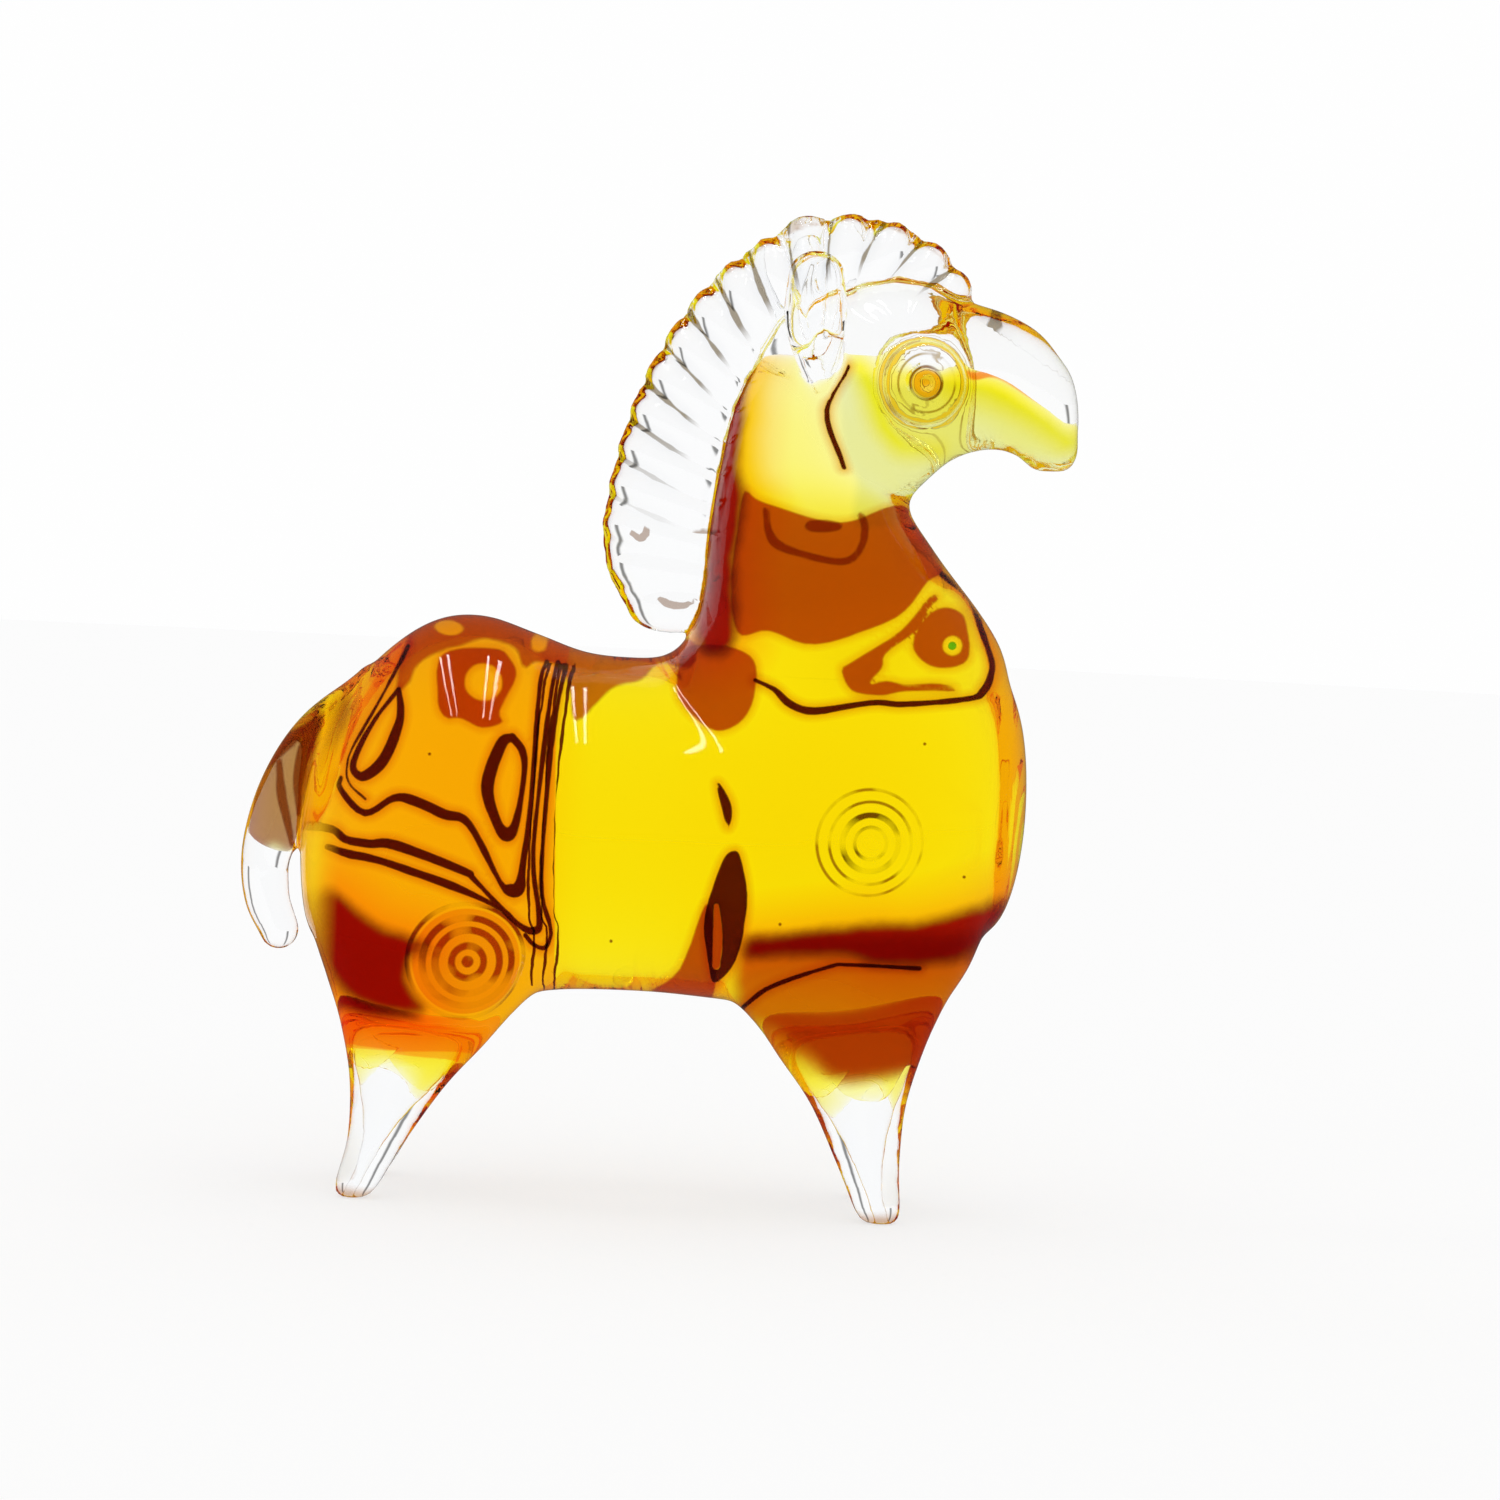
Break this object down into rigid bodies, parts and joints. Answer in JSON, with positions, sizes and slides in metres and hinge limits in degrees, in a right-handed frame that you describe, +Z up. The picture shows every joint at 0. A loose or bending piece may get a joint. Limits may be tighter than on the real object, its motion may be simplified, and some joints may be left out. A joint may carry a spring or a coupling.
{
  "type": "glass horse figurine",
  "caption": "Solid glass horse on stub legs: amber core under clear casing, crimped clear mane, cupped ears, drooping tail and stamped ring bosses.",
  "frame": {"origin": "on the floor under the middle of the figure's box, between the four feet", "axes": "+X from tail to nose, +Y to the horse's left, +Z up"},
  "size_m": [0.1466, 0.0594, 0.18],
  "materials": {
    "clear_glass": "fire-polished clear glass, smooth and glossy",
    "amber_glass": "transparent amber glass sealed inside the clear casing: yellow where thin, orange to red-brown where thick"
  },
  "bodies": {
    "root": {"glass_horse": "clear_glass"}
  },
  "joints": []
}
